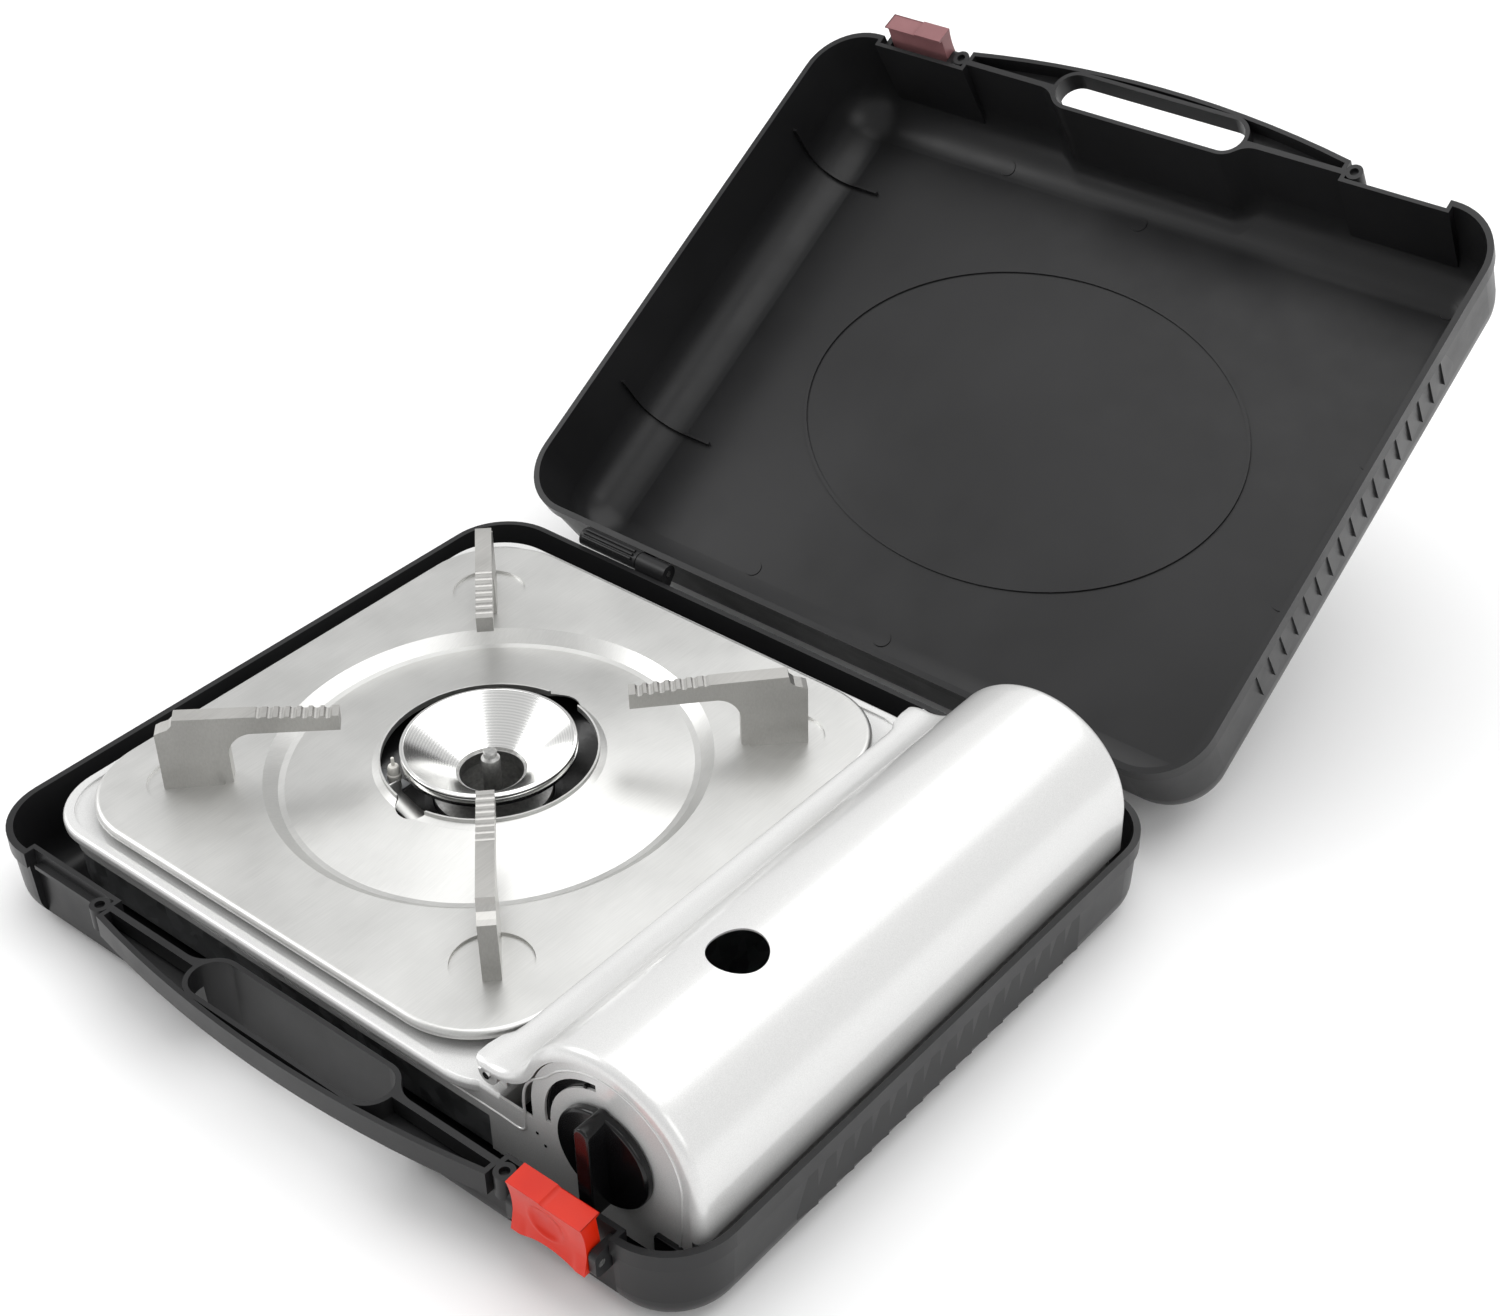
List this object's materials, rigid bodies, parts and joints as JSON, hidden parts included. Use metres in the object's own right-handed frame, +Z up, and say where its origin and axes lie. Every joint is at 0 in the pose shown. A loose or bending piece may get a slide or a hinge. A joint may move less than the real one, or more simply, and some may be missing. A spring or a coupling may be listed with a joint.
{
  "type": "butane cassette stove",
  "caption": "Portable gas stove in a hinged black carry case, with a lift-off drip plate, folded toothed pan supports, a bell burner, a turning knob and a hinged rounded canister cover",
  "frame": {"origin": "on the ground under the middle of the case's lower half, where the case rests", "axes": "X runs to the right along the case's hinge line, Y runs back from the carrying handle to the hinge, Z is up"},
  "size_m": [0.365, 0.5805, 0.2105],
  "materials": {
    "case_black": "moulded black plastic, fine spark texture",
    "latch_red": "red moulded plastic",
    "latch_rose": "dusty rose moulded plastic",
    "pin_steel": "plain steel pin",
    "satin_steel": "satin stainless sheet",
    "silver_paint": "glossy pearl silver paint",
    "pan_steel": "galvanised sheet",
    "enamel_black": "black enamel",
    "spun_aluminium": "bright spun aluminium",
    "cast_aluminium": "cast aluminium",
    "brass": "turned brass",
    "knob_black": "glossy black moulding",
    "rubber": "black rubber foot"
  },
  "bodies": {
    "case_base": {"case_base": "case_black", "case_hinge_pins": "pin_steel", "base_latch_pin": "pin_steel"},
    "lid": {"case_lid": "case_black", "lid_latch_pin": "pin_steel"},
    "base_latch": {"base_latch": "latch_red"},
    "lid_latch": {"lid_latch": "latch_rose"},
    "stove": {"bottom_pan": "pan_steel", "stove_feet": "rubber", "body_shell": "silver_paint", "cover_catch": "knob_black", "cover_hinge_pins": "pin_steel", "heat_shield": "pan_steel", "canister_cradle": "pan_steel", "regulator": "cast_aluminium", "canister_socket": "cast_aluminium", "igniter": "knob_black", "gas_pipe": "brass", "injector": "brass", "mixer_tube": "pan_steel", "burner_base": "cast_aluminium", "burner_bell": "spun_aluminium", "burner_post": "cast_aluminium", "burner_bowl": "enamel_black", "burner_bracket": "pan_steel", "igniter_bracket": "pan_steel", "igniter_electrode": "knob_black"},
    "knob": {"knob": "knob_black", "knob_shaft": "brass"},
    "drip_plate": {"drip_plate": "satin_steel", "pan_support_1": "satin_steel", "pan_support_2": "satin_steel", "pan_support_3": "satin_steel", "pan_support_4": "satin_steel", "support_rivets": "pin_steel"},
    "canister_cover": {"canister_cover": "silver_paint"}
  },
  "joints": [
    {"name": "lid_hinge", "type": "hinge", "parent": "case_base", "child": "lid", "pos_m": [0, 0.1506, 0.04], "axis": [-1, 0, 0], "range_deg": [-148, 0]},
    {"name": "base_latch_hinge", "type": "hinge", "parent": "case_base", "child": "base_latch", "pos_m": [0.1315, -0.149, 0.029], "axis": [1, 0, 0], "range_deg": [-6, 60]},
    {"name": "lid_latch_hinge", "type": "hinge", "parent": "lid", "child": "lid_latch", "pos_m": [-0.1315, 0.40854, 0.19257], "axis": [-1, 0, 0], "range_deg": [-6, 60]},
    {"name": "stove_lift", "type": "slide", "parent": "case_base", "child": "stove", "axis": [0, 0, 1], "range_m": [0, 0.16]},
    {"name": "drip_plate_lift", "type": "slide", "parent": "stove", "child": "drip_plate", "axis": [0, 0, 1], "range_m": [0, 0.15]},
    {"name": "cover_hinge", "type": "hinge", "parent": "stove", "child": "canister_cover", "pos_m": [0.079, 0, 0.0495], "axis": [0, -1, 0], "range_deg": [0, 80]},
    {"name": "knob_turn", "type": "hinge", "parent": "stove", "child": "knob", "pos_m": [0.1345, -0.1263, 0.0485], "axis": [0, -1, 0], "range_deg": [0, 110]}
  ]
}
